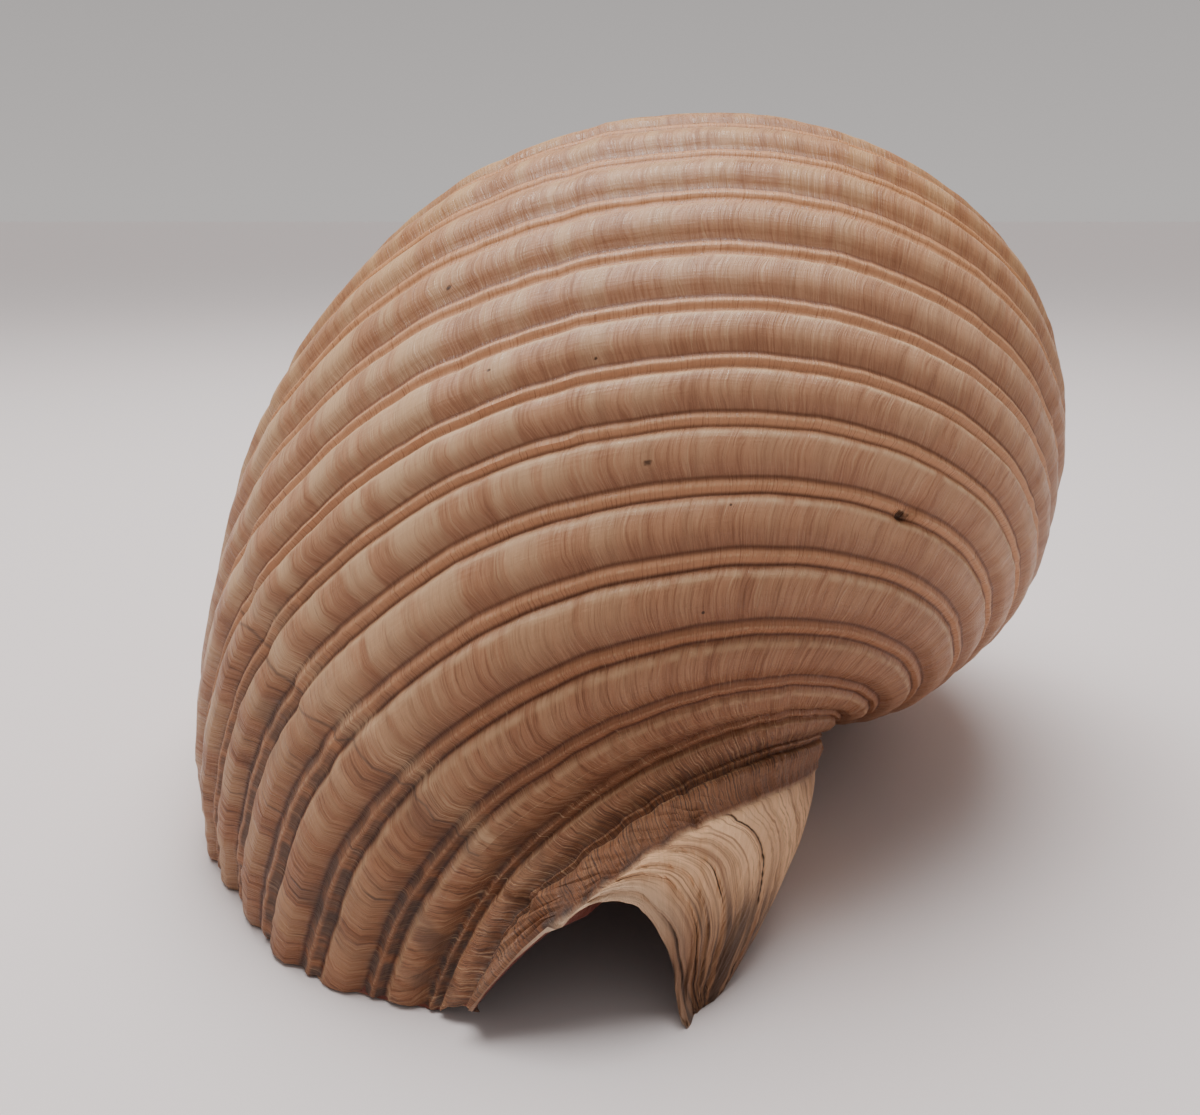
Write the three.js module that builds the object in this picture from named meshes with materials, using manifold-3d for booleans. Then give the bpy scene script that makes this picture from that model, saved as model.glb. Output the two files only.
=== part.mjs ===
// Tun shell: a large, thin-walled sea-snail shell resting on the rim of its aperture.
// Millimetres, +Z up, origin under the middle of the shell on the surface it rests on.
// The shell grows along a logarithmic spiral. Its axis runs from the apex, high at the back,
// down to the tip of the columella, which touches the ground at the front.
import * as THREE from "three";
import { mergeVertices } from "three/addons/utils/BufferGeometryUtils.js";
import Module from "manifold-3d";

// Axis of the spiral: the apex, the lean of the axis and its turn to the side.
const APEX = new THREE.Vector3(31.9, 91.2, 81.3);
const AXIS_LEAN = THREE.MathUtils.degToRad(25.5);
const AXIS_TURN = THREE.MathUtils.degToRad(10.1);

// Growth: every turn is this many times larger than the turn before it.
const GROWTH_PER_TURN = 2.2;
const FULL_SIZE_ANGLE = 200;

// The right flank of the last turn is a little flatter than the spiral would have it.
const FLANK = { angle: -18, spread: 42, flattening: 0.075 };

// Grooves between the broad ribs at full size: [distance from the axis, distance below the apex].
// They run from the sutural channel, over the shoulder and the belly, to the edge of the canal.
const GROOVES = [
  [40, 46.5], [43.5, 45], [47.5, 45.5], [52.5, 47.5], [58.5, 50], [65.5, 53.5], [73, 58], [81, 64.5],
  [88.5, 74], [94, 85.5], [98, 99.5], [98.7, 115], [97.4, 130.7], [94, 145], [90.5, 159], [86, 171],
  [80, 180.5], [72, 189.5], [64, 199.5], [54, 207.5], [43.5, 212.5], [34.5, 215], [30, 221], [31, 232.5],
];
const RIB_HEIGHT = 1.6;
const FLAT_RIB = [0.22, 0.78];
const ROUND_RIB = [0.5];
const NO_RIB = [];

// Thickness of the wall. Its smooth inside follows every second groove, and each one past the waist.
const WALL = 1.9;
const WAIST_GROOVE = 18;

// Columella: a tapering pillar about the axis that every turn runs down to. It is solid up to
// SOLID.from and is peeled open to a thin wall, the roof of the canal, by SOLID.to.
const PILLAR_TIP = { radius: 4, depth: 196 };
const SOLID = { from: 10, to: 75 };
const CORE = { radius: 5, top: 6, taper: 20, waist: 150, tip: 1.5, sides: 14, hollow: 1.4 };
const APEX_BEAD = { radius: 7.5, depth: 11.5, sides: 12, rings: 8 };

// Turns, as angles about the axis in degrees. The last turn is hollow and the others are filled.
const NUCLEUS_START = -826;
const YOUNG_START = -484;
const LAST_START = -142;
const CANAL_START = 20;
const LIP_ANGLE = 212;
const TURN_OVERLAP = 9;
const TURN_STEPS = { nucleus: 11, young: 15, last: 26 };

// Edge of the shell: it ends at LIP_ANGLE, but earlier where it arches over the siphonal notch.
const EDGE_NEAR_CANAL = [168, 156, 119];
const ARCH_EDGE = [112, 106, 99, 92, 86, 25];

const GROUND_SIZE = 500;

const wasm = await Module();
wasm.setup();

const rad = THREE.MathUtils.degToRad;
const growth = (angle) => GROWTH_PER_TURN ** ((angle - FULL_SIZE_ANGLE) / 360);

function girth(angle) {
  const offset = (angle - FLANK.angle) / FLANK.spread;
  return growth(angle) * (1 - FLANK.flattening * Math.exp(-offset * offset));
}

// Outward direction at each point of the groove line.
function outwards(line) {
  return line.map((point, i) => {
    const before = line[Math.max(i - 1, 0)];
    const after = line[Math.min(i + 1, line.length - 1)];
    const along = after.clone().sub(before).normalize();
    return new THREE.Vector2(along.y, -along.x);
  });
}

// A strand is a line of the surface that runs along the spiral. at() gives its distance from the axis
// and below the apex at an angle, and end is the angle where the edge of the shell cuts it off.
function bodyStrand(place, out, depth, end) {
  const at = (angle) => {
    const grown = new THREE.Vector2(place.x * girth(angle), place.y * growth(angle));
    return grown.addScaledVector(out, -depth);
  };
  return { at, end };
}

const grooveLine = GROOVES.map(([r, d]) => new THREE.Vector2(r, d));
const grooveOut = outwards(grooveLine);
const firstNearCanal = GROOVES.length - EDGE_NEAR_CANAL.length;
const edgeAngle = (i) => (i < firstNearCanal ? LIP_ANGLE : EDGE_NEAR_CANAL[i - firstNearCanal]);

// Strands of the outside: every groove, and the raised corners of the rib after it.
function outerStrands(ribShares) {
  return grooveLine.flatMap((groove, i) => {
    const strands = [bodyStrand(groove, grooveOut[i], 0, edgeAngle(i))];
    if (i === 0 || i === grooveLine.length - 1) return strands;
    for (const share of ribShares) {
      const out = grooveOut[i].clone().lerp(grooveOut[i + 1], share);
      const crest = groove.clone().lerp(grooveLine[i + 1], share).addScaledVector(out, RIB_HEIGHT);
      const end = THREE.MathUtils.lerp(edgeAngle(i), edgeAngle(i + 1), share);
      strands.push(bodyStrand(crest, out, 0, end));
    }
    return strands;
  });
}

function innerStrands() {
  const kept = grooveLine.map((groove, i) => i).filter((i) => i % 2 === 0 || i > WAIST_GROOVE);
  return kept.slice(0, -1).map((i) => bodyStrand(grooveLine[i], grooveOut[i], WALL, edgeAngle(i)));
}

// Strands of the pillar lie on a parabola from the last groove to the tip.
function pillarStrands(inside) {
  const last = bodyStrand(grooveLine.at(-1), grooveOut.at(-1), 0, 0);
  return ARCH_EDGE.map((end, i) => {
    const share = (i + 1) / ARCH_EDGE.length;
    const at = (angle) => {
      const start = last.at(angle);
      const fall = Math.max(PILLAR_TIP.depth - start.y, PILLAR_TIP.radius);
      const width = start.x - PILLAR_TIP.radius;
      const place = new THREE.Vector2(start.x - width * share * share, start.y + fall * share);
      if (!inside) return place;
      const out = new THREE.Vector2(fall, 2 * share * width).normalize();
      const open = THREE.MathUtils.smoothstep(angle, SOLID.from, SOLID.to);
      return new THREE.Vector2(CORE.hollow, place.y).lerp(place.addScaledVector(out, -WALL), open);
    };
    return { at, end };
  });
}

// Closed loop of strands around the wall: down the outside and back up the inside.
function wallLoop() {
  const inside = [...innerStrands(), ...pillarStrands(true).slice(1)];
  return [...outerStrands(FLAT_RIB), ...pillarStrands(false), ...inside.reverse()];
}

// Closed loop of strands around a young turn that is filled to the axis.
function filledLoop(ribShares) {
  const outside = outerStrands(ribShares);
  const nearAxis = (angle, depth) => new THREE.Vector2(CORE.hollow * growth(angle), depth);
  const bottom = { at: (angle) => nearAxis(angle, PILLAR_TIP.depth), end: LIP_ANGLE };
  const top = { at: (angle) => nearAxis(angle, outside[0].at(angle).y), end: LIP_ANGLE };
  return [...outside, ...pillarStrands(false), bottom, top];
}

// Triangles that close the loop at an angle, wound the way the loop runs.
function capFaces(loop, angle) {
  const outline = loop.map(({ at }) => at(angle));
  const turned = THREE.ShapeUtils.isClockWise(outline);
  return THREE.ShapeUtils.triangulateShape(outline, []).map((face) => {
    const kept = THREE.ShapeUtils.isClockWise(face.map((i) => outline[i])) === turned;
    return kept ? face : face.toReversed();
  });
}

// From CANAL_START on, each strand runs at its own pace, and all reach the edge of the shell together.
function paced(angle, end) {
  const share = (angle - CANAL_START) / (LIP_ANGLE - CANAL_START);
  return share > 0 ? THREE.MathUtils.lerp(CANAL_START, end, share) : angle;
}

// Carries a loop of strands from one angle to another and closes both ends.
function sweep(from, to, steps, loop) {
  const positions = [];
  const indices = [];
  const count = loop.length;
  for (let step = 0; step <= steps; step += 1) {
    for (const { at, end } of loop) {
      const angle = paced(from + (to - from) * step / steps, end);
      const { x: r, y: depth } = at(angle);
      positions.push(r * Math.cos(rad(angle)), r * Math.sin(rad(angle)), depth);
    }
  }
  for (let step = 0; step < steps; step += 1) {
    for (let i = 0; i < count; i += 1) {
      const a = step * count + i;
      const b = step * count + (i + 1) % count;
      indices.push(a, b + count, b, a, a + count, b + count);
    }
  }
  const first = capFaces(loop, from);
  const last = capFaces(loop, Math.min(to, ARCH_EDGE[0]));
  indices.push(...first.flat(), ...last.flatMap((face) => face.toReversed()).map((i) => steps * count + i));
  const geometry = new THREE.BufferGeometry();
  geometry.setAttribute("position", new THREE.Float32BufferAttribute(positions, 3));
  geometry.setIndex(indices);
  return geometry;
}

// Solid rod along the axis, inside the pillar, that the filled turns close on.
function core() {
  const profile = [
    new THREE.Vector2(0, CORE.top),
    new THREE.Vector2(CORE.radius, CORE.top + CORE.taper),
    new THREE.Vector2(CORE.radius, CORE.waist),
    new THREE.Vector2(CORE.tip, PILLAR_TIP.depth),
    new THREE.Vector2(0, PILLAR_TIP.depth),
  ];
  return new THREE.LatheGeometry(profile, CORE.sides).rotateX(Math.PI / 2);
}

function apexBead() {
  const bead = new THREE.SphereGeometry(APEX_BEAD.radius, APEX_BEAD.sides, APEX_BEAD.rings);
  return bead.translate(0, 0, APEX_BEAD.depth);
}

function ground() {
  return new THREE.BoxGeometry(GROUND_SIZE, GROUND_SIZE, GROUND_SIZE).translate(0, 0, -GROUND_SIZE / 2);
}

// Places a shape built about the spiral axis, apex at zero and depth along +Z, where the shell lies.
function placed(geometry) {
  const level = Math.cos(AXIS_LEAN);
  const side = Math.sin(AXIS_TURN);
  const ahead = Math.cos(AXIS_TURN);
  const down = new THREE.Vector3(-side * level, -ahead * level, -Math.sin(AXIS_LEAN));
  const right = new THREE.Vector3(ahead, -side, 0);
  const over = new THREE.Vector3().crossVectors(down, right);
  return geometry.applyMatrix4(new THREE.Matrix4().makeBasis(right, over, down).setPosition(APEX));
}

// Closed solid from a geometry whose shared corners are merged first.
function solidFrom(geometry) {
  geometry.deleteAttribute("normal");
  geometry.deleteAttribute("uv");
  const merged = mergeVertices(geometry);
  const corners = Array.from(merged.index.array);
  const faces = [];
  for (let i = 0; i < corners.length; i += 3) {
    const face = corners.slice(i, i + 3);
    if (new Set(face).size === 3) faces.push(...face);
  }
  return new wasm.Manifold(new wasm.Mesh({
    numProp: 3,
    vertProperties: new Float32Array(merged.attributes.position.array),
    triVerts: new Uint32Array(faces),
  }));
}

// Whole shell: the turns joined, and the rim cut level where it meets the ground.
// One swept piece can't lap over itself, so each is a little less than a turn and starts inside the last.
function shellSolid() {
  const pieces = [
    core(),
    apexBead(),
    sweep(NUCLEUS_START, YOUNG_START + TURN_OVERLAP, TURN_STEPS.nucleus, filledLoop(NO_RIB)),
    sweep(YOUNG_START, LAST_START + TURN_OVERLAP, TURN_STEPS.young, filledLoop(ROUND_RIB)),
    sweep(LAST_START, LIP_ANGLE, TURN_STEPS.last, wallLoop()),
  ];
  const whole = pieces.map((piece) => solidFrom(placed(piece))).reduce((sum, piece) => sum.add(piece));
  return whole.subtract(solidFrom(ground()));
}

function meshFrom(solid, name, material) {
  const { vertProperties, triVerts } = solid.getMesh();
  const geometry = new THREE.BufferGeometry();
  geometry.setAttribute("position", new THREE.BufferAttribute(vertProperties, 3));
  geometry.setIndex(new THREE.BufferAttribute(triVerts, 1));
  geometry.computeVertexNormals();
  const mesh = new THREE.Mesh(geometry, material);
  mesh.name = name;
  return mesh;
}

const shellMaterial = new THREE.MeshStandardMaterial({ color: 0xa67f5c, roughness: 0.5, metalness: 0 });
const shell = new THREE.Group();
shell.add(meshFrom(shellSolid(), "shell", shellMaterial));

export default shell;
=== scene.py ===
"""Looks of a tun shell: a large ribbed sea-snail shell resting on its lip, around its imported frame."""
import math

import bpy
import numpy as np
from bpy.props import FloatProperty, FloatVectorProperty, PointerProperty
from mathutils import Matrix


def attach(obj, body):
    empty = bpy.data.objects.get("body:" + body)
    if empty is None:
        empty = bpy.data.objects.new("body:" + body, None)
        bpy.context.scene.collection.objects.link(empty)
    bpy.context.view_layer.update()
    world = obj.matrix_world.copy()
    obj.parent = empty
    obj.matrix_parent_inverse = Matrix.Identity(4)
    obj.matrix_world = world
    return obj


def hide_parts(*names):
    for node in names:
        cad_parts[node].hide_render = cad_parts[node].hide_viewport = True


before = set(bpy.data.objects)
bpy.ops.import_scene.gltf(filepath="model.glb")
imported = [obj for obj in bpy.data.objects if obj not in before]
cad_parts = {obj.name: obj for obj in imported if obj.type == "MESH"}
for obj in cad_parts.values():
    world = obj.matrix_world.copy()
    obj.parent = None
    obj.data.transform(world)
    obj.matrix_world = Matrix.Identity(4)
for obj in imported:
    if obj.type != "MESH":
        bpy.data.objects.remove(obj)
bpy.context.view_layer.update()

bl_info = {
    "name": "Tun Shell",
    "version": (1, 0, 0),
    "blender": (4, 5, 0),
    "location": "View3D > Sidebar > Tun Shell",
    "description": "Builds a tun shell from its growth spiral, with its finish and a plain stage",
    "category": "Add Mesh",
}

MM = 0.001

# Sizes are in millimetres and angles in degrees. A zone is a pair, from where a smooth step starts to where
# it ends, or two pairs, for a rise and a fall.

# Axis of the spiral: the apex, the lean of the axis and its turn to the side, then the flatter flank.
APEX = np.array([31.9, 91.2, 81.3])
AXIS_LEAN = math.radians(25.5)
AXIS_TURN = math.radians(10.1)
FULL_SIZE_ANGLE = 200.0
FLANK_ANGLE = -18.0
FLANK_SPREAD = 42.0
FLANK_FLATTENING = 0.075

# Lines of the grooves at full size, numbered from the sutural channel to the edge of the fasciole.
GROOVE_RADII = np.array([
    40, 43.5, 47.5, 52.5, 58.5, 65.5, 73, 81, 88.5, 94, 98, 98.7,
    97.4, 94, 90.5, 86, 80, 72, 64, 54, 43.5, 34.5, 30, 31,
])
GROOVE_DEPTHS = np.array([
    46.5, 45, 45.5, 47.5, 50, 53.5, 58, 64.5, 74, 85.5, 99.5, 115,
    130.7, 145, 159, 171, 180.5, 189.5, 199.5, 207.5, 212.5, 215, 221, 232.5,
])
LAST_GROOVE = len(GROOVE_RADII) - 1
PILLAR_END = LAST_GROOVE + 1
PILLAR_POWER = 2.0
PILLAR_SLIMMING = 0.45
SLIM_TURN = ((-90.0, -30.0), (50.0, 95.0))
WAIST = 0.075
WAIST_ANGLE = 36.0
WAIST_SPREAD = 30.0
WAIST_RIBS = (21.3, 22.8)
TIP_RADIUS = 4.0
TIP_DEPTH = 196.0
TIP_ANGLE = -60.0
SPUR = 4.5
SPUR_RIB = 23.94
SPUR_RIB_SPREAD = 0.045
SPUR_SPREAD = 9.0
SPUR_UNEVEN = 0.35

# Turn angles of the young turns, which are filled, and of the last turn, which is a hollow wall.
NUCLEUS_START = -1700.0
YOUNG_END = -150.0
LAST_START = -172.0
JOIN_SPAN = 12.0
JOIN_SINK = 0.6
CANAL_START = 20.0
LIP_ANGLE = 212.0
LOWEST_EDGE = 100.0
HALVINGS = 24
SOLID_PILLAR = (10.0, 75.0)
SOLID_PILLAR_RIB = LAST_GROOVE + 0.1
PILLAR_HOLLOW = 1.4
YOUNG_PACE = 0.85
YOUNG_RIBS_TURN = (-800.0, -420.0)
AXIS_CORE = 0.3

# The inside of the last turn: how much the ribs show there, and how the wall thins at its edge and leg.
INNER_RELIEF = 0.35
EDGE_WALL = 0.5
EDGE_TAPER = 0.5
LEG_RIBS = ((18.0, 20.4), (22.8, 23.3))
LEG_WALL_LOSS = 0.3
LEG_TAPER_LOSS = 0.38

# Edge of the shell near the siphonal notch: rib number, then the turn angle where the edge lies.
NOTCH_RIBS = np.array([
    20.6, 21, 21.4, 22, 22.45, 22.6, 22.8, 23.08, 23.2, 23.44, 23.58, 23.7, 23.9, 23.95, 24,
])
NOTCH_EDGE = np.array([
    212, 170, 164.5, 159, 153, 141, 127.5, 118, 111, 101, 97, 92, 84.5, 66, 33,
])
EDGE_RAGGED = 0.5
EDGE_RAGGED_RIBS = (21.0, 22.5)
EDGE_DROP = 0.45
EDGE_DROP_GAP = (0.0, 0.7)
FAR_FROM_EDGE = 360.0

# Places across one rib, from groove line to groove line, where the outside has its columns.
RIB_STEPS = np.array([0.0, 0.035, 0.07, 0.105, 0.145, 0.19, 0.25, 0.4, 0.6, 0.72, 0.81, 0.88, 0.945])
YOUNG_RIB_STEPS = np.array([0.0, 0.2, 0.4, 0.6, 0.8])
LINING_RIB_STEPS = np.array([0.0, 0.5])
CANAL_RIB_STEPS = np.array([0.0, 0.16, 0.33, 0.5, 0.66, 0.83])
CANAL_RIB = 20
CANAL_SLANT = 7.0
PILLAR_COLUMNS = 26
YOUNG_PILLAR_COLUMNS = 8
LINING_PILLAR_COLUMNS = 18
YOUNG_ROWS = 104
BACK_ROWS = 64
FRONT_ROWS = 140
RIM_ROWS = 3
RIM_STEP = 0.45
SHARP_ANGLE = 60.0

# Shape of a rib and its groove, in shares of a rib from the groove line. The flank below a groove is steep.
STEEP_FLANK = (0.09, 0.23)
GENTLE_FLANK = (0.12, 0.38)
CROWN_FALL = 0.3
CROWN_HALF = 0.36
THREAD_PLACE = -0.02
THREAD_WIDTH = 0.062
THREAD_UNEVEN = 0.16
RIBBED = ((0.9, 1.4), (22.2, 22.9))
FULL_RIBS = (7.0, 13.0)
UPPER_RIB_HEIGHT = 0.72

# Grooves of the upper ribs, which are wider and have a second pair of threads, and of the ribs near the lip.
UPPER_WIDENING = 0.04
UPPER_RIBS = (11.0, 14.0)
SECOND_THREAD_HEIGHT = 0.45
SECOND_THREAD_RIBS = (11.5, 14.0)
SECOND_THREAD_PLACE = 0.115
SECOND_THREAD_WIDTH = 0.035
LIP_TURN = (128.0, 172.0)
LIP_RIBS = ((14.0, 16.5), (20.5, 22.0))
LIP_WIDENING = 0.06
LIP_THREAD_WIDENING = 0.025

# The narrow rib and the crease above the fasciole: rib number, width in ribs and height.
RIBLET = (22.45, 0.1, 0.55)
CREASE = (22.97, 0.07, -0.6)

# Wander of the ribs, in ribs, and the zones where they lie higher or lower than the plain spiral.
CALM_RIBS = ((2.0, 5.0), (20.0, 22.5))
RAISED = 0.13
RAISED_TURN = ((-60.0, 30.0), (40.0, 95.0))
RAISED_RIBS = (17.3, 19.5)
LOWERED = 0.22
LOWERED_TURN = (75.0, 130.0)
LOWERED_RIBS = (14.5, 17.0)
SWAY = 0.035
TREMBLE = 0.012

# Growth ripples: their skew per rib, and sizes relative to the ripple's own, but for the coarse ones.
RIPPLE_SKEW = 0.35
LIP_ROUGH = 1.3
LIP_ROUGH_GAP = (5.0, 75.0)
LIP_ROUGH_RIBS = (12.0, 17.0)
CANAL_ROUGH = 1.2
CANAL_ROUGH_RIBS = ((20.5, 22.2), (22.8, 23.05))
CANAL_COARSE = 0.42
CANAL_COARSE_RIBS = ((19.2, 20.6), (22.8, 23.05))
SMALL_SHARE = 0.5
BROAD_SHARE = 1.2
LONG_SHARE = 0.8

# Random curves: the step between their knots and the seed.
BEAD_CURVE = (1.7, 21)
SWAY_CURVE = (15.0, 14)
TREMBLE_CURVE = (6.0, 15)
SCAR_CURVE = (0.17, 17)
FINE_CURVE = (2.6, 3)
SMALL_CURVE = (1.35, 6)
COARSE_CURVE = (4.2, 31)
BROAD_CURVE = (9.0, 4)
LONG_CURVE = (31.0, 5)
LEAF_CURVE = (0.11, 8)
WAVE_CURVE = (2.2, 24)
SPUR_CURVE = (1.3, 27)
EDGE_CURVE = (0.09, 11)

# Leaves of the fasciole: angles from the edge of the notch where each older leaf steps up, then their form.
LEAF_LINES = np.array([-3.0, 4.2, 12.3, 17.0, 25.0, 33.0, 48.0, 64.0, 84.0, 110.0, 400.0])
LEAF_HEIGHT = 0.95
LEAF_STEP = 0.14
LEAF_FALL = 0.85
LEAF_FADE = 60.0
LEAF_SPREAD = 0.6
LEAF_SPREAD_RIB = 23.1
LEAF_UNEVEN = 0.9
LEAF_UNEVEN_GAP = (1.0, 6.0)
LEAF_RIBS = ((23.0, 23.12), (23.85, 24.0))
LEAF_WAVE = 0.5
LEAF_WAVE_RIBS = (23.4, 23.7)

# An old broken lip that healed: rib number, then the turn angle of the scar.
SCAR_RIBS = np.array([14.9, 16.26, 17.02, 17.84, 18.3, 18.98, 19.24, 20.08, 20.6])
SCAR_ANGLES = np.array([153.0, 150.5, 149.0, 146.0, 142.5, 140.0, 138.5, 138.0, 138.0])
SCAR_JAGGED = 0.7
NO_SCAR = 40.0
SCAR_GROOVE = 0.12
SCAR_GROOVE_WIDTH = 1.3
SCAR_STEP = 0.16
SCAR_STEP_TURN = ((0.0, 2.0), (3.0, 24.0))

# Pits: rib number, turn angle, size and depth. A deep pit gets painted shade at its bottom; a dent, shallow
# for its size, isn't dark.
PITS = (
    (17.05, 57.3, 1.4, 1.4), (16.9, 56.6, 2.6, 0.55), (16.58, 96.0, 0.65, 0.7), (14.74, 102.0, 0.3, 0.3),
    (14.45, 113.5, 0.3, 0.3), (12.65, 119.5, 0.4, 0.5), (17.28, 85.0, 0.25, 0.3), (18.68, 87.5, 0.3, 0.3),
)
RIB_WIDTH = 10.5
ARC_PER_DEGREE = 1.05
DENT_SHARE = 0.9

# Values at each corner that the finish reads.
MARKS = ("rib_number", "turn_angle", "edge_gap", "lining", "leaf", "scar")

# Streaks of the finish: rate over the ribs, rate along the turn, noise layer, detail and roughness.
STREAKS = {
    "drift": (1.1, 0.45, 12.0, 2.0, 0.5),
    "fine": (0.8, 2.2, 0.0, 3.0, 0.68),
    "hair": (1.8, 5.0, 9.0, 2.0, 0.6),
    "broad": (0.5, 0.4, 4.0, 2.0, 0.5),
    "own_block": (3.7, 0.2, 2.0, 2.0, 0.6),
    "shared_block": (0.1, 0.17, 15.0, 2.0, 0.6),
    "weave": (26.0, 0.3, 18.0, 2.0, 0.5),
    "cloud": (0.7, 0.12, 21.0, 3.0, 0.6),
    "grain": (2.0, 11.0, 3.0, 3.0, 0.6),
    "tone": (1.2, 2.4, 6.0, 2.0, 0.5),
    "pit_edge": (14.0, 1.1, 5.0, 1.0, 0.5),
    "leaf_tone": (3.1, 1.0, 0.0, 0.0, 0.5),
    "crack_part": (2.6, 5.3, 0.0, 1.0, 0.5),
}
LEAF_TONE_PLACE = 0.7
STREAK_BOW = 0.35
STREAK_DRIFT = 1.3

# Parts of the shell that the finish tells apart, from where each starts to where it is full.
UPPER_LOOK = (14.0, 9.0)
LOW_LOOK = (15.0, 21.5)
LEFT_LOOK = (80.0, 125.0)
NEAR_LIP_GAP = (65.0, 8.0)
NEAR_LIP_RIBS = (13.0, 17.0)
AT_LIP_RIB = 18.0
AT_LIP_HALF = 4.0
STRONG = (0.5, 0.85)
FASCIOLE_LOOK = (22.85, 23.06)
RIB_LOOK = (0.12, 0.18)
UPPER_LOOK_WIDENING = 0.05

# Dark bands above and below each thread, reddish brown lines with painted shade in the groove: distance from
# it, half their width and how much they shift.
BAND_ABOVE = (0.14, 0.09)
BAND_BELOW = (0.12, 0.055)
BAND_UPPER_SHIFT = 0.04
BAND_LIP_SHIFT = 0.05

# Painted shade that the low ribs are multiplied by, a yellow tint that the upper ribs are multiplied by, and
# the gloss and depth of the finish.
LOW_SHADE = (0.60, 0.47, 0.41, 1)
UPPER_TINT = (1.0, 0.86, 0.58, 1)
SPECULAR = 0.22
BUMP_STRENGTH = 0.6
BUMP_DEPTH = 0.35 * MM

# The stage, in metres: the floor, the two lights and the sky.
FLOOR_HALF = 6.0
FLOOR_ROUGHNESS = 0.75
KEY_SIZE = 0.7
KEY_PLACE = (-0.08, 0.14, 0.75)
KEY_TURN = (-10.0, -6.0, 0.0)
WIDE_ANGLE = 45.0
WIDE_TURN = (-18.0, -5.0, 0.0)
SKY_COLOUR = (1.0, 0.95, 0.93, 1)
HORIZON_GAIN = 1.7
HORIZON_HEIGHT = 0.4

# The picture's camera.
CAMERA_PLACE = (-8.8, -222.5, 105.4)
CAMERA_TILT = 73.4
CAMERA_LENS = 36.0
CAMERA_SENSOR = 36.0
CAMERA_NEAR = 10.0


class ShellShape(bpy.types.PropertyGroup):
    """Sizes of the shell that can be changed."""
    growth_per_turn: FloatProperty(
        name="Growth per Turn", description="How many times larger each turn is than the one before",
        default=2.2, min=1.5, max=3.0)
    rib_height: FloatProperty(
        name="Rib Height", description="Height of the broad ribs above the grooves at full size",
        default=1.7 * MM, unit="LENGTH")
    thread_height: FloatProperty(
        name="Thread Height", description="Height of the thin thread in each groove at full size",
        default=0.9 * MM, unit="LENGTH")
    wall: FloatProperty(
        name="Wall", description="Thickness of the wall of the last turn",
        default=1.9 * MM, unit="LENGTH")
    ripple: FloatProperty(
        name="Growth Ripple", description="Height of the uneven growth ripples that cross the ribs",
        default=0.16 * MM, unit="LENGTH")


class ShellColours(bpy.types.PropertyGroup):
    """Colours of the shell that can be changed."""
    rib: FloatVectorProperty(
        name="Rib", description="Tan of the broad ribs",
        subtype="COLOR", size=3, default=(0.48, 0.248, 0.138))
    # Pale is also laid on as the painted highlights along the rib crests and the thread crests.
    pale: FloatVectorProperty(
        name="Pale Streaks", description="Whitish streaks and blotches that cross the ribs",
        subtype="COLOR", size=3, default=(0.64, 0.42, 0.245))
    # Brown is also laid on as the painted shade on the ribs' lower sides and on the low ribs' threads.
    brown: FloatVectorProperty(
        name="Brown Streaks", description="Brown growth lines that cross the ribs",
        subtype="COLOR", size=3, default=(0.22, 0.090, 0.047))
    # The groove colour also stands for the painted shade in the grooves.
    groove: FloatVectorProperty(
        name="Grooves", description="Dark reddish brown of the grooves",
        subtype="COLOR", size=3, default=(0.13, 0.046, 0.026))
    thread: FloatVectorProperty(
        name="Threads", description="Orange tan of the thread in each groove",
        subtype="COLOR", size=3, default=(0.57, 0.285, 0.15))
    fasciole: FloatVectorProperty(
        name="Fasciole", description="Paler tan of the twisted band beside the notch",
        subtype="COLOR", size=3, default=(0.95, 0.58, 0.33))
    rim: FloatVectorProperty(
        name="Rim", description="Pale broken edge of the shell",
        subtype="COLOR", size=3, default=(0.68, 0.50, 0.35))
    lining: FloatVectorProperty(
        name="Lining", description="Reddish brown inside of the shell",
        subtype="COLOR", size=3, default=(0.17, 0.052, 0.038))
    # Dirt is also laid on as the painted shade along the crease above the fasciole.
    dirt_and_shade: FloatVectorProperty(
        name="Dirt", description="Grey-black dirt in the grooves near the lip",
        subtype="COLOR", size=3, default=(0.075, 0.055, 0.048))
    # The crack colour is also laid on as the painted shade in the deep pits.
    crack_and_shade: FloatVectorProperty(
        name="Cracks", description="Near black of the cracks and pits",
        subtype="COLOR", size=3, default=(0.035, 0.016, 0.010))


class StageLook(bpy.types.PropertyGroup):
    """Floor and lights that can be changed."""
    floor_colour: FloatVectorProperty(
        name="Floor", description="Pale colour of the floor",
        subtype="COLOR", size=3, default=(0.76, 0.69, 0.68))
    key_power: FloatProperty(
        name="Key Light", description="Power of the large soft light above",
        default=8.0, min=0.0, unit="POWER")
    sun_strength: FloatProperty(
        name="Wide Light", description="Strength of the wide soft light from behind", default=1.3, min=0.0)
    sky_strength: FloatProperty(
        name="Sky", description="Strength of the even light from above", default=0.34, min=0.0)


def smooth_step(low, high, value):
    """0 below low, 1 above high, and a smooth S between them."""
    share = np.clip((value - low) / (high - low), 0, 1)
    return share * share * (3 - 2 * share)


def within(value, rise, fall):
    """1 between a rise and a fall, each a smooth S from its first value to its second."""
    return smooth_step(*rise, value) * (1 - smooth_step(*fall, value))


def bell(offset):
    """1 at no offset, falling away on both sides as a bell."""
    return np.exp(-offset ** 2)


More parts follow.
